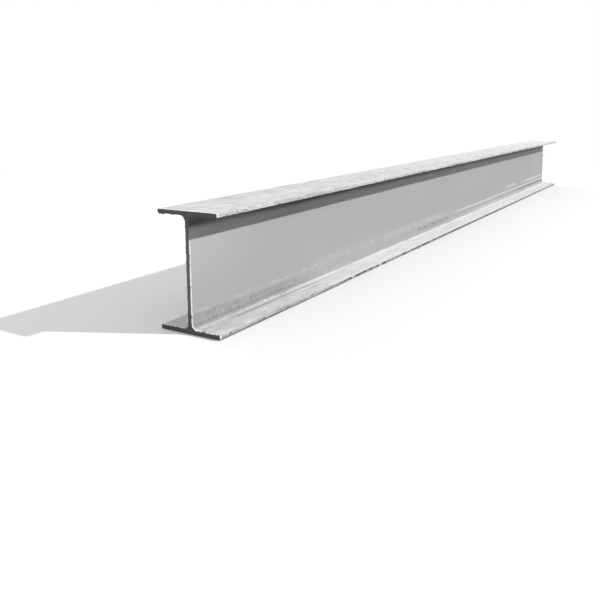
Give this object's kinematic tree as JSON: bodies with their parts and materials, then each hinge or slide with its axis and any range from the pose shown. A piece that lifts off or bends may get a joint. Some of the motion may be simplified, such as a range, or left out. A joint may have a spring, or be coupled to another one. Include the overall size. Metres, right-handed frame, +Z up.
{
  "type": "steel h-beam",
  "caption": "Hot-rolled steel H-beam stock length with wide parallel flanges, a rounded root where web meets flange, and square-sawn ends.",
  "frame": {"origin": "centre of the lower flange's underside, which the beam rests on", "axes": "+X along the beam to its far end, +Y across the flanges, +Z up the web from the lower flange to the upper one"},
  "size_m": [6, 0.3, 0.489],
  "materials": {
    "steel": "dull light grey as rolled, lightly streaked and scuffed, darker at the sawn ends"
  },
  "bodies": {
    "root": {"h_beam": "steel"}
  },
  "joints": []
}
